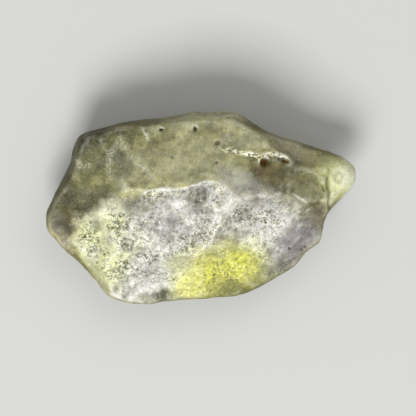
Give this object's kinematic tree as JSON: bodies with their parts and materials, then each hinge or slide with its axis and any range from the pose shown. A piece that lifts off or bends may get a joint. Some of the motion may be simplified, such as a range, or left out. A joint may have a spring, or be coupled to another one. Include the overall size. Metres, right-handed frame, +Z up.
{
  "type": "libyan desert glass",
  "caption": "Wind-worn piece of translucent yellow-grey natural silica glass, covered in shallow hollows, crests and pits, lying on a flat facet.",
  "frame": {"origin": "centre of the bounding box in X and Y, at the height of the flat facet that the stone lies on", "axes": "+X along the stone's length to its tip, +Y to its smoother side, +Z up through its thickness"},
  "size_m": [0.0416, 0.0262, 0.0146],
  "materials": {
    "glass": "frosted, wind-etched, pitted, translucent"
  },
  "bodies": {
    "root": {"desert_glass": "glass"}
  },
  "joints": []
}
